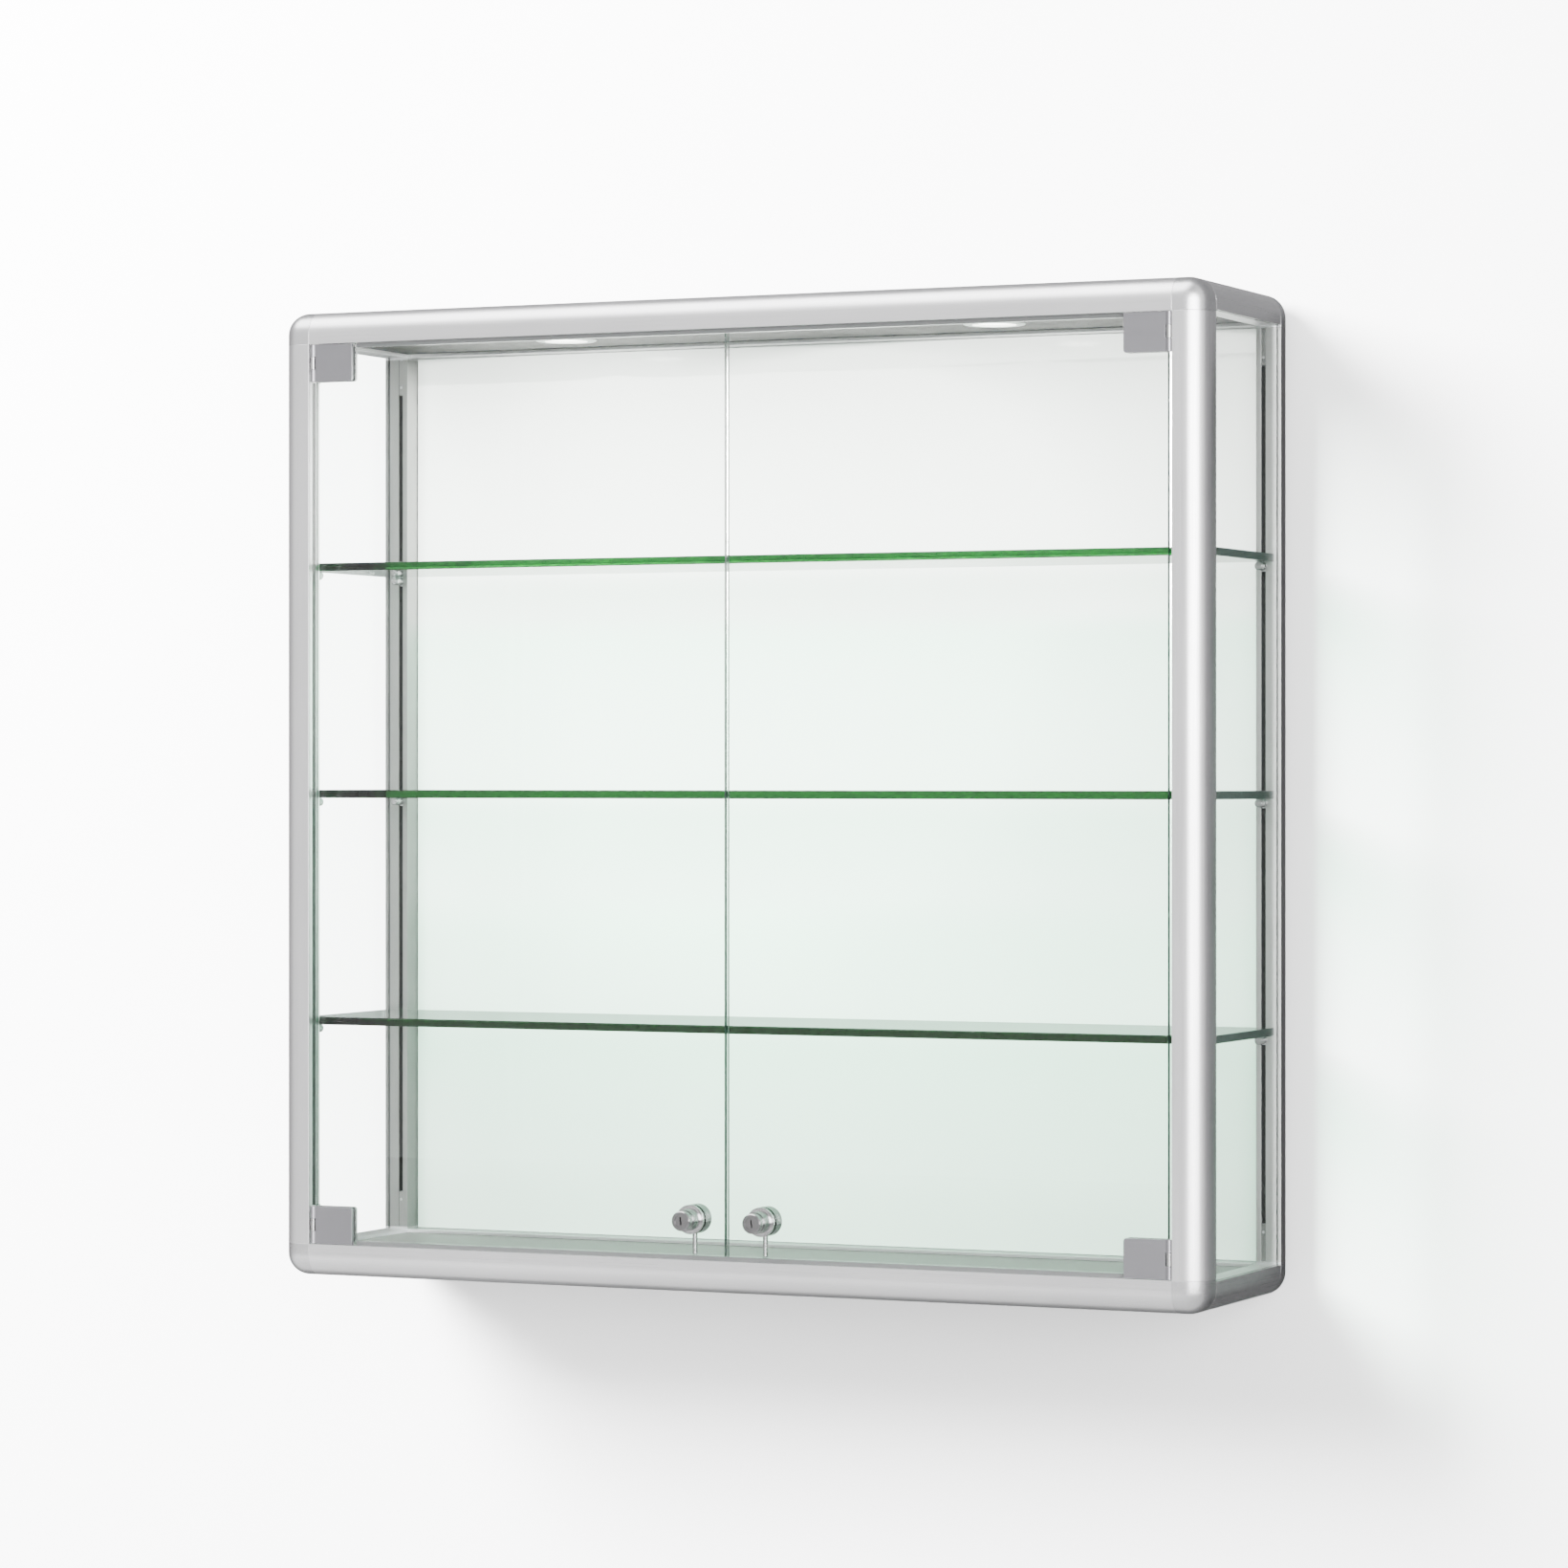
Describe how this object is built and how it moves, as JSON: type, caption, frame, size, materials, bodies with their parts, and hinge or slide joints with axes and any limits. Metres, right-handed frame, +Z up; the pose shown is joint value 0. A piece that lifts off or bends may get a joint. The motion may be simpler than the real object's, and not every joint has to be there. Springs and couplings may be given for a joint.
{
  "type": "wall mounted showcase",
  "caption": "Shallow wall cabinet with a rounded metal frame, glass sides and shelves on pegs, recessed downlights, and locking glass doors on clamp hinges.",
  "frame": {"origin": "centre of the four wall screw holes, on the wall plane, at mid width and mid height", "axes": "+X to the right as seen from the front, along the width; +Y into the wall; +Z up"},
  "size_m": [1, 0.271, 0.982],
  "materials": {
    "anodised": "satin anodised",
    "casting": "fine matte silver paint",
    "white_panel": "gloss",
    "grey_panel": "satin paint",
    "clear_glass": "clear, polished edges",
    "green_glass": "clear with green edges",
    "dark_rubber": "matte",
    "polished_steel": "fine satin",
    "plain_steel": "zinc plated",
    "nickel": "bright nickel",
    "white_metal": "satin paint",
    "lamp_glass": "frosted",
    "lamp_board": "matte",
    "white_plastic": "matte"
  },
  "bodies": {
    "frame": {"post_front_left": "anodised", "post_front_right": "anodised", "post_rear_left": "anodised", "post_rear_right": "anodised", "rail_top_front": "anodised", "rail_bottom_front": "anodised", "rail_top_rear": "anodised", "rail_bottom_rear": "anodised", "rail_top_left": "anodised", "rail_top_right": "anodised", "rail_bottom_left": "anodised", "rail_bottom_right": "anodised", "corners_front_left": "casting", "corners_front_right": "casting", "corners_rear_left": "casting", "corners_rear_right": "casting", "back_panel": "white_panel", "floor_panel": "grey_panel", "ceiling_panel": "grey_panel", "top_cover": "anodised", "side_glass_left": "clear_glass", "side_glass_right": "clear_glass", "glass_gaskets": "dark_rubber", "shelf_upper": "green_glass", "shelf_middle": "green_glass", "shelf_lower": "green_glass", "shelf_pegs": "polished_steel", "peg_nuts": "plain_steel", "slot_fillers": "anodised", "frame_screws": "plain_steel", "door_seals": "dark_rubber", "wall_plates": "plain_steel", "bolt_sockets": "plain_steel", "hinge_leaves": "polished_steel", "hinge_pins": "plain_steel", "downlight_housings": "white_metal", "downlight_lenses": "lamp_glass", "led_modules": "lamp_board", "led_driver": "white_plastic", "cable_grommet": "dark_rubber"},
    "left_door": {"door_glass_left": "clear_glass", "hinge_plates_left": "polished_steel", "clamp_plates_left": "polished_steel", "hinge_pads_left": "dark_rubber", "clamp_screws_left": "plain_steel", "lock_body_left": "nickel", "lock_housing_left": "nickel"},
    "left_core": {"lock_core_left": "nickel"},
    "left_bolt": {"lock_bolt_left": "polished_steel"},
    "right_door": {"door_glass_right": "clear_glass", "hinge_plates_right": "polished_steel", "clamp_plates_right": "polished_steel", "hinge_pads_right": "dark_rubber", "clamp_screws_right": "plain_steel", "lock_body_right": "nickel", "lock_housing_right": "nickel"},
    "right_core": {"lock_core_right": "nickel"},
    "right_bolt": {"lock_bolt_right": "polished_steel"}
  },
  "joints": [
    {"name": "left_door_hinge", "type": "hinge", "parent": "frame", "child": "left_door", "pos_m": [-0.4635, -0.249, 0], "axis": [0, 0, -1], "range_deg": [0, 110]},
    {"name": "right_door_hinge", "type": "hinge", "parent": "frame", "child": "right_door", "pos_m": [0.4635, -0.249, 0], "axis": [0, 0, 1], "range_deg": [0, 110]},
    {"name": "left_lock_turn", "type": "hinge", "parent": "left_door", "child": "left_core", "pos_m": [-0.0382, -0.25, -0.4183], "axis": [0, 1, 0], "range_deg": [0, 90]},
    {"name": "left_bolt_slide", "type": "slide", "parent": "left_door", "child": "left_bolt", "axis": [0, 0, -1], "range_m": [0, 0.00801]},
    {"name": "right_lock_turn", "type": "hinge", "parent": "right_door", "child": "right_core", "pos_m": [0.0382, -0.25, -0.4183], "axis": [0, 1, 0], "range_deg": [0, 90]},
    {"name": "right_bolt_slide", "type": "slide", "parent": "right_door", "child": "right_bolt", "axis": [0, 0, -1], "range_m": [0, 0.00801]}
  ],
  "couplings": [
    {"joint": "left_bolt_slide", "follows": "left_lock_turn", "m_per_rad": 0.005093},
    {"joint": "right_bolt_slide", "follows": "right_lock_turn", "m_per_rad": 0.005093}
  ]
}
